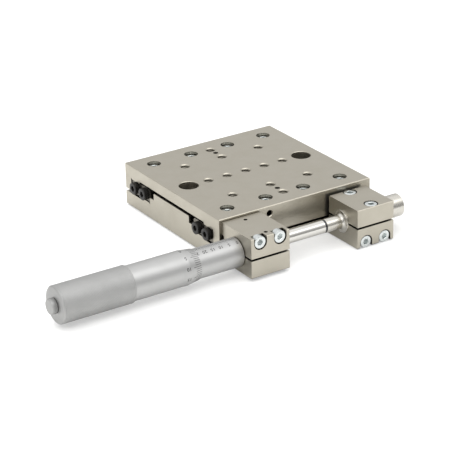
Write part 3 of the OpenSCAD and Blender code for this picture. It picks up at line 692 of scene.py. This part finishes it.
@dataclass
class ReturnSprings:
    """The two extension springs between the base's and the table's pins."""

    bench: Bench
    table_pin_x: float = -20.0
    base_pin_x: float = 42.0
    wire_d: float = 0.7
    coil_r: float = 2.35
    loop_r: float = 1.95
    hook: float = 3.0
    turns: int = 20
    spring_y: float = 12.0
    spring_z: float = 13.2
    steps_per_turn: int = 20
    loop_half_deg: int = 165
    loop_steps: int = 24
    wire_sides: int = 12

    def coil_start(self) -> float:
        """Gives where the coil begins, at its table end."""
        return self.table_pin_x + self.loop_r + self.hook

    def coil_end(self) -> float:
        """Gives where the coil ends, at its base end."""
        return self.base_pin_x - self.loop_r - self.hook

    def loop(self, pin_x: float, way: int) -> list[Vector]:
        """Gives a flat loop round a pin, open towards the coil.

        Args:
            pin_x: The pin's place along X.
            way: -1 for the loop at the table's end, and 1 for the one at the base's end.

        Returns:
            Points of the wire's middle line.
        """
        points = []
        for i in range(self.loop_steps + 1):
            a = math.radians(self.loop_half_deg - 2 * self.loop_half_deg * i / self.loop_steps)
            points.append(Vector((pin_x + way * self.loop_r * math.cos(a), self.loop_r * math.sin(a), 0)))
        return points

    def path(self) -> list[Vector]:
        """Gives the wire's middle line: a flat loop, the coil, and a flat loop."""
        start, end = self.coil_start(), self.coil_end()
        steps = self.turns * self.steps_per_turn
        coil = []
        for i in range(steps + 1):
            a = 2 * math.pi * i / self.steps_per_turn
            x = start + (end - start) * i / steps
            coil.append(Vector((x, self.coil_r * math.cos(a), self.coil_r * math.sin(a))))
        return self.loop(self.table_pin_x, -1) + coil + self.loop(self.base_pin_x, 1)

    def build(self) -> None:
        """Builds both springs from round wire."""
        path = self.path()
        round_wire = [2 * math.pi * k / self.wire_sides for k in range(self.wire_sides)]
        for side, name in ((-1, "return_spring_front"), (1, "return_spring_back")):
            mesh = bmesh.new()
            shift = Vector((0, side * self.spring_y, self.spring_z))
            up = Vector((0, 0, 1))
            rows = []
            for i, point in enumerate(path):
                along = (path[min(i + 1, len(path) - 1)] - path[max(i - 1, 0)]).normalized()
                up = (up - along * up.dot(along)).normalized()
                across = along.cross(up)
                rows.append([
                    shift + point + (up * math.cos(a) + across * math.sin(a)) * self.wire_d / 2
                    for a in round_wire
                ])
            tube(mesh, rows)
            wire = self.bench.piece(name + "_wire", mesh, SPRING_WIRE, None, "spring_steel", [name])
            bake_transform(wire)


class Figures:
    """Bends lines and numbers round the micrometer's axis, as paint in engraved marks."""

    FONT_PER_DIGIT = 1.4
    PLATE_MM = 2.0
    PLATE_DEG = 3
    SLICES = 8

    def __init__(self, axis_y: float, axis_z: float, thickness: float = 0.02, depth: float = 0.06) -> None:
        """Keeps the axis and the paint's thickness.

        Args:
            axis_y: The axis's place across the travel.
            axis_z: The axis's height.
            thickness: How far the paint stands out.
            depth: How far the mark goes in.
        """
        self.axis_y = axis_y
        self.axis_z = axis_z
        self.thickness = thickness
        self.depth = depth
        self.mesh = bmesh.new()

    def point(self, x: float, turn: float, r: float) -> Vector:
        """Gives the place at a turn from straight up, towards the micrometer's outer side."""
        return Vector((x, self.axis_y - r * math.sin(turn), self.axis_z + r * math.cos(turn)))

    def patch(self, x0: float, x1: float, turn0: float, turn1: float,
              radius: Callable[[float], float]) -> None:
        """Adds a thin bent plate between two places along X and two turns.

        Args:
            x0: First place along X.
            x1: Second place along X.
            turn0: First turn in radians.
            turn1: Second turn.
            radius: Radius of the surface at a place along X.
        """
        across = max(1, math.ceil(abs(turn1 - turn0) / math.radians(self.PLATE_DEG)))
        along = max(1, math.ceil(abs(x1 - x0) / self.PLATE_MM))
        for i in range(along):
            xa, xb = x0 + (x1 - x0) * i / along, x0 + (x1 - x0) * (i + 1) / along
            for k in range(across):
                ta = turn0 + (turn1 - turn0) * k / across
                tb = turn0 + (turn1 - turn0) * (k + 1) / across
                self.brick([(xa, ta), (xb, ta), (xb, tb), (xa, tb)], radius)

    def brick(self, corners: Sequence[tuple[float, float]], radius: Callable[[float], float]) -> None:
        """Adds one thin plate over a few corners, each given as place along X and turn."""
        top = [self.mesh.verts.new(self.point(x, t, radius(x) + self.thickness)) for x, t in corners]
        low = [self.mesh.verts.new(self.point(x, t, radius(x) - self.depth)) for x, t in corners]
        self.mesh.faces.new(top)
        self.mesh.faces.new(low[::-1])
        for k in range(len(corners)):
            j = (k + 1) % len(corners)
            self.mesh.faces.new((top[j], top[k], low[k], low[j]))

    def number(self, text: str, x: float, turn: float, height: float, radius: Callable[[float], float],
               spin_deg: float = 180.0) -> None:
        """Adds a number, bent round the axis.

        Args:
            text: The digits.
            x: Place of the number's middle along X.
            turn: Turn of its middle.
            height: Height of the digits.
            radius: Radius of the surface at a place along X.
            spin_deg: Turn of the number in the surface.
        """
        curve = bpy.data.curves.new("digits", "FONT")
        curve.body = text
        curve.size = height * self.FONT_PER_DIGIT
        curve.align_x = "CENTER"
        curve.align_y = "CENTER"
        curve.space_character = 1.08
        curve.offset = height * 0.012
        holder = bpy.data.objects.new("digits", curve)
        bpy.context.scene.collection.objects.link(holder)
        flat = bmesh.new()
        data = holder.evaluated_get(bpy.context.evaluated_depsgraph_get()).to_mesh()
        flat.from_mesh(data)
        bmesh.ops.remove_doubles(flat, verts=flat.verts, dist=1e-4)
        for step in range(-self.SLICES, self.SLICES + 1):
            whole = list(flat.verts) + list(flat.edges) + list(flat.faces)
            cut_at = (0, step * height / self.SLICES, 0)
            bmesh.ops.bisect_plane(flat, geom=whole, plane_co=cut_at, plane_no=(0, 1, 0))
        c, s = math.cos(math.radians(spin_deg)), math.sin(math.radians(spin_deg))
        places = []
        for v in flat.verts:
            u, w = v.co.x * c - v.co.y * s, v.co.x * s + v.co.y * c
            places.append((x + u, turn - w / radius(x + u)))
        for i, v in enumerate(flat.verts):
            v.index = i
        top = [self.mesh.verts.new(self.point(a, t, radius(a) + self.thickness)) for a, t in places]
        low = [self.mesh.verts.new(self.point(a, t, radius(a) - self.depth)) for a, t in places]
        for face in flat.faces:
            ids = [v.index for v in face.verts]
            self.mesh.faces.new([top[i] for i in ids])
            self.mesh.faces.new([low[i] for i in reversed(ids)])
        for edge in flat.edges:
            if len(edge.link_faces) == 1:
                a, b = (v.index for v in edge.verts)
                self.mesh.faces.new((top[a], top[b], low[b], low[a]))
        flat.free()
        bpy.data.objects.remove(holder)
        bpy.data.curves.remove(curve)


@dataclass
class Micrometer:
    """The micrometer head: sleeve, thimble, grip and spindle."""

    bench: Bench
    layout: Layout = LAYOUT
    sleeve_r: float = 8.2
    zero_x: float = -50.5
    span: int = 50
    thimble_r: float = 9.6
    edge_r: float = 8.55
    edge_x: float = -75.5
    bevel: float = 7.0
    grip_front: float = -115.5
    grip_rear: float = -157.5
    grip_r: float = 10.3
    knob_d: float = 8.5
    knob_h: float = 3.5
    grip_wall: float = 0.9
    rim: float = 0.8
    knurl_pitch: float = 1.0
    knurl_depth: float = 0.14
    grip_bore_r: float = 2.65
    grip_floor: float = 3.0
    end_shank_r: float = 2.5
    end_shank_front: float = -139.0
    divisions: int = 50
    digit_h: float = 1.9

    def build(self) -> None:
        """Dresses the nodes and builds the scale, the thimble's marks and the knurled grip."""
        for name in ("stem_barrel", "graduated_sleeve", "adjusting_nut", "thimble"):
            self.bench.dress_node(name, SATIN_CHROME)
        self.bench.dress_node("spindle", LAPPED_STEEL)
        self.bench.dress_node("spindle_tip", CARBIDE)
        self.bench.dress_node("disc_spring", SPRING_WIRE)
        self.sleeve_scale()
        self.thimble_scale()
        self.knurled_grip()
        self.end_cap()

    def sleeve_scale(self) -> None:
        """Builds the sleeve's datum line, its millimetre and half millimetre marks and its numbers."""
        marks = Figures(self.layout.axis_y, self.layout.axis_z)
        r = self.sleeve_r
        width = 0.14
        gap = 0.1
        short_mark = 1.5
        long_mark = 2.3
        number_row = 3.7

        def surface(x: float) -> float:
            """Radius of the sleeve."""
            return r

        marks.patch(self.zero_x + 0.6, self.zero_x - self.span - 0.5, -width / 2 / r, width / 2 / r, surface)
        for i in range(self.span + 1):
            x = self.zero_x - i
            length = long_mark if i % 5 == 0 else short_mark
            marks.patch(x - width / 2, x + width / 2, gap / r, length / r, surface)
            if i < self.span:
                marks.patch(x - 0.5 - width / 2, x - 0.5 + width / 2, -short_mark / r, -gap / r, surface)
            if i % 5 == 0:
                marks.number(str(i), x, number_row / r, self.digit_h, surface)
        self.bench.piece("sleeve_scale", marks.mesh, SCALE_PAINT, "table", "satin_chromed_steel")

    def thimble_scale(self) -> None:
        """Builds the fifty marks on the thimble's bevel and the number at each fifth one."""
        marks = Figures(self.layout.axis_y, self.layout.axis_z)
        slope = (self.thimble_r - self.edge_r) / self.bevel
        width = 0.21
        short_mark = 3.4
        long_mark = 4.8
        start = self.edge_x - 0.1
        numbers_x = self.edge_x - 8.0

        def surface(x: float) -> float:
            """Radius of the bevel, and of the barrel behind it."""
            return min(self.thimble_r, self.edge_r + slope * (self.edge_x - x))

        for i in range(self.divisions):
            turn = 2 * math.pi * i / self.divisions
            length = long_mark if i % 5 == 0 else short_mark
            half = width / 2 / self.edge_r
            marks.patch(start, start - length, turn - half, turn + half, surface)
            if i % 5 == 0:
                marks.number(str(i), numbers_x, turn, self.digit_h, surface)
        self.bench.piece("thimble_scale", marks.mesh, SCALE_PAINT, "spindle", "satin_chromed_steel")

    def knurled_grip(self) -> None:
        """Builds the grip with a cut diamond knurl between two plain rims."""
        lay = self.layout
        inner = self.grip_r - self.grip_wall
        outer = self.grip_r - 0.01
        per_ridge = 6
        around = round(2 * math.pi * self.grip_r / self.knurl_pitch)
        columns = around * per_ridge
        first, last = self.grip_front - 1.0, self.grip_rear + self.rim + 0.5
        rows_count = int((first - last) / self.knurl_pitch * per_ridge)
        turns = [2 * math.pi * k / columns for k in range(columns)]

        def ring(x: float, radius: Callable[[float], float]) -> list[Vector]:
            """Gives one ring of points."""
            return [
                Vector((x, lay.axis_y - radius(a) * math.sin(a), lay.axis_z + radius(a) * math.cos(a)))
                for a in turns
            ]

        def plain(x: float, r: float) -> list[Vector]:
            """Gives one round ring."""
            return ring(x, lambda a: r)

        def cut(x: float) -> Callable[[float], float]:
            """Gives the knurl's radius round the grip at a place along X."""
            def radius(a: float) -> float:
                """Radius at one turn."""
                u, v = a * around / (2 * math.pi), x / self.knurl_pitch
                left = abs((u + v) % 1.0 - 0.5) * 2
                right = abs((u - v) % 1.0 - 0.5) * 2
                return outer - 0.02 - self.knurl_depth * max(0.0, 1 - 1.5 * min(1 - left, 1 - right))

            return radius

        rows = [plain(self.grip_front, inner), plain(self.grip_front, outer - 0.4)]
        rows += [plain(self.grip_front - 0.15, outer - 0.12), plain(self.grip_front - 0.4, outer)]
        rows += [plain(first + 0.05, outer)]
        places = [first - (first - last) * i / rows_count for i in range(rows_count + 1)]
        rows += [ring(x, cut(x)) for x in places]
        rows += [plain(last - 0.05, outer), plain(self.grip_rear + self.rim, outer)]
        rows += [plain(self.grip_rear + 0.12, outer - 0.55), plain(self.grip_rear, outer - 0.8)]
        rows += [plain(self.grip_rear, self.grip_bore_r)]
        rows += [plain(self.grip_rear + self.grip_floor, self.grip_bore_r)]
        rows += [plain(self.grip_rear + self.grip_floor, inner)]
        mesh = bmesh.new()
        made = [[mesh.verts.new(p) for p in row] for row in rows]
        quads(mesh, made + [made[0]])
        self.bench.piece("knurled_grip", mesh, MATT_CHROME, "grip", "satin_chromed_steel", ["grip_sleeve"],
                         smooth_deg=80.0)

    def end_cap(self) -> None:
        """Builds the round end screw with its domed edge."""
        head_x = self.grip_rear - 0.02
        rear_x = self.grip_rear - self.knob_h + 0.01
        r = self.knob_d / 2
        dome = 0.8
        chamfer = 0.5
        shank = self.end_shank_r
        front = self.end_shank_front
        outline = [(rear_x, 0), (rear_x, r - dome)] + arc(rear_x + dome, r - dome, dome, 180, 90, 6)
        outline += [(head_x - 0.5, r), (head_x, r - 0.3), (head_x, shank), (front - chamfer, shank)]
        outline += [(front, shank - chamfer), (front, 0)]
        mesh = lathe(outline, self.layout.axis_y, self.layout.axis_z, 96)
        self.bench.piece("end_screw_turned", mesh, MATT_CHROME, "spindle", "turned_steel", ["end_screw"])


@dataclass(frozen=True)
class Studio:
    """Floor, soft light, and the camera where the photograph's camera stood, as measured from it."""

    azimuth: float = -32.176
    elevation: float = 24.248
    roll: float = -1.433
    shift_x: float = 12.047
    shift_y: float = 30.893
    distance: float = 1070.864
    focal_px: float = 1891.955
    floor_m: float = 12.0
    floor_lift: float = 0.38
    floor_z: float = -0.5
    foot_shade: float = 70.0
    wall_levels: tuple[tuple[float, float], ...] = (
        (0.0, 0.55), (0.22, 0.70), (0.42, 0.88), (0.75, 1.25), (1.0, 1.2),
    )
    front_low: float = -0.34
    front_high: float = 1.15

    def build(self) -> None:
        """Makes everything round the object."""
        self.camera()
        self.world()
        self.floor()
        self.lamp("overhead_softbox", place=(-0.25, 0.35, 1.3), size=1.3, power=9.0)
        self.lamp("side_softbox", place=(-1.1, -0.5, 0.8), size=0.8, power=4.0)

    def camera(self) -> None:
        """Makes the camera where the photograph's camera stood."""
        a, e, r = (math.radians(v) for v in (self.azimuth, self.elevation, self.roll))
        back = Vector((math.sin(a) * math.cos(e), -math.cos(a) * math.cos(e), math.sin(e)))
        right = Vector((0, 0, 1)).cross(back).normalized()
        up = back.cross(right)
        x_axis = right * math.cos(r) + up * math.sin(r)
        y_axis = up * math.cos(r) - right * math.sin(r)
        place = x_axis * -self.shift_x + y_axis * -self.shift_y + back * self.distance
        place += Vector((0, 0, LAYOUT.height))
        data = bpy.data.cameras.new("camera")
        data.sensor_width = SENSOR_MM
        data.lens = SENSOR_MM * self.focal_px / PHOTO_PIXELS
        camera = bpy.data.objects.new("camera", data)
        turn = Matrix((x_axis, y_axis, back)).transposed().to_4x4()
        camera.matrix_world = Matrix.Translation(place * MM) @ turn
        bpy.context.scene.collection.objects.link(camera)
        bpy.context.scene.camera = camera

    def world(self) -> None:
        """Makes the studio's walls: brighter with height, and in front dim low down and bright high up."""
        world = bpy.data.worlds.new("studio")
        bpy.context.scene.world = world
        world.use_nodes = True
        tree = world.node_tree
        tree.nodes.clear()
        way = add(tree, "ShaderNodeTexCoord").outputs["Generated"]
        parts = add(tree, "ShaderNodeSeparateXYZ", i0=way)

        def smooth(part: bpy.types.NodeSocket, start: float, end: float,
                   most: float) -> bpy.types.NodeSocket:
            """Gives a soft change from 0 at the start to its most at the end."""
            change = add(tree, "ShaderNodeMapRange", {"interpolation_type": "SMOOTHSTEP"}, Value=part,
                         i1=start, i2=end, i3=0.0, i4=most)
            return change.outputs[0]

        ramp = add(tree, "ShaderNodeValToRGB", i0=parts.outputs[2])
        for index, (place, level) in enumerate(self.wall_levels):
            stop = ramp.color_ramp.elements[index] if index < 2 else ramp.color_ramp.elements.new(place)
            stop.position = place
            stop.color = (level, level, level, 1)
        front = smooth(parts.outputs[1], -0.05, -0.4, 1.0)
        low = smooth(parts.outputs[2], 0.62, 0.42, self.front_low)
        high = smooth(parts.outputs[2], 0.60, 0.76, self.front_high)
        change = add(tree, "ShaderNodeMath", {"operation": "ADD"}, i0=low, i1=high)
        turned = add(tree, "ShaderNodeMath", {"operation": "MULTIPLY_ADD"}, i0=front, i1=change.outputs[0],
                     i2=1.0)
        level = add(tree, "ShaderNodeMath", {"operation": "MULTIPLY"}, i0=ramp.outputs[0],
                    i1=turned.outputs[0])
        sky = add(tree, "ShaderNodeBackground", Color=(1.0, 1.0, 1.0, 1.0), Strength=level.outputs[0])
        add(tree, "ShaderNodeOutputWorld", Surface=sky.outputs[0])

    def floor(self) -> None:
        """Makes the plain pale floor, which shows white and keeps the object's shadow."""
        data = bpy.data.meshes.new("floor")
        h = self.floor_m
        data.from_pydata([(-h, -h, 0), (h, -h, 0), (h, h, 0), (-h, h, 0)], [], [(0, 1, 2, 3)])
        floor = bpy.data.objects.new("floor", data)
        floor.location.z = self.floor_z * MM
        bpy.context.scene.collection.objects.link(floor)
        material = bpy.data.materials.new("pale_floor")
        material.use_nodes = True
        tree = material.node_tree
        tree.nodes.clear()
        ray = add(tree, "ShaderNodeLightPath").outputs
        # Painted shade: for rays mirrored off the metal, the floor's glow is dimmed by ambient occlusion
        # near the object's foot
        open_air = add(tree, "ShaderNodeAmbientOcclusion", {"samples": 8}, Distance=self.foot_shade * MM)
        mirrored = add(tree, "ShaderNodeMath", {"operation": "MAXIMUM"}, i0=ray["Is Glossy Ray"],
                       i1=ray["Is Transmission Ray"])
        mirrored = add(tree, "ShaderNodeMath", {"operation": "MULTIPLY"}, i0=mirrored.outputs[0],
                       i1=open_air.outputs["AO"])
        seen = add(tree, "ShaderNodeMath", {"operation": "MAXIMUM"}, i0=ray["Is Camera Ray"],
                   i1=mirrored.outputs[0])
        lift = add(tree, "ShaderNodeMath", {"operation": "MULTIPLY"}, i0=seen.outputs[0], i1=self.floor_lift)
        grain = add(tree, "ShaderNodeTexNoise", Scale=300.0)
        tint = add(tree, "ShaderNodeMix", {"data_type": "RGBA"}, i0=grain.outputs["Fac"],
                   i6=linear("#C9C9C8"), i7=linear("#CCCCCB"))
        shader = add(tree, "ShaderNodeBsdfPrincipled", Base_Color=tint.outputs[2], Roughness=0.9,
                     Specular_IOR_Level=0.1, Emission_Color=(1.0, 1.0, 1.0, 1.0),
                     Emission_Strength=lift.outputs[0])
        add(tree, "ShaderNodeOutputMaterial", Surface=shader.outputs[0])
        data.materials.append(material)

    def lamp(self, name: str, place: Sequence[float], size: float, power: float) -> None:
        """Makes one softbox that points at the object.

        Args:
            name: The lamp's name.
            place: Where it hangs, in metres.
            size: Length of its sides in metres.
            power: Its power in watts.
        """
        data = bpy.data.lights.new(name, "AREA")
        data.shape = "SQUARE"
        data.size = size
        data.energy = power
        lamp = bpy.data.objects.new(name, data)
        lamp.visible_glossy = False
        lamp.location = place
        lamp.rotation_mode = "QUATERNION"
        lamp.rotation_quaternion = (-Vector(place)).to_track_quat("-Z", "Y")
        bpy.context.scene.collection.objects.link(lamp)


def main() -> None:
    """Builds the studio and every sub-assembly, in order."""
    bpy.context.scene.view_settings.view_transform = "Standard"
    Studio().build()
    bench = Bench()
    for part in (Stage(bench), Table(bench), Guides(bench), ReturnSprings(bench), Micrometer(bench)):
        part.build()
        LOG.info("built %s", type(part).__name__)


if __name__ == "__main__":
    main()
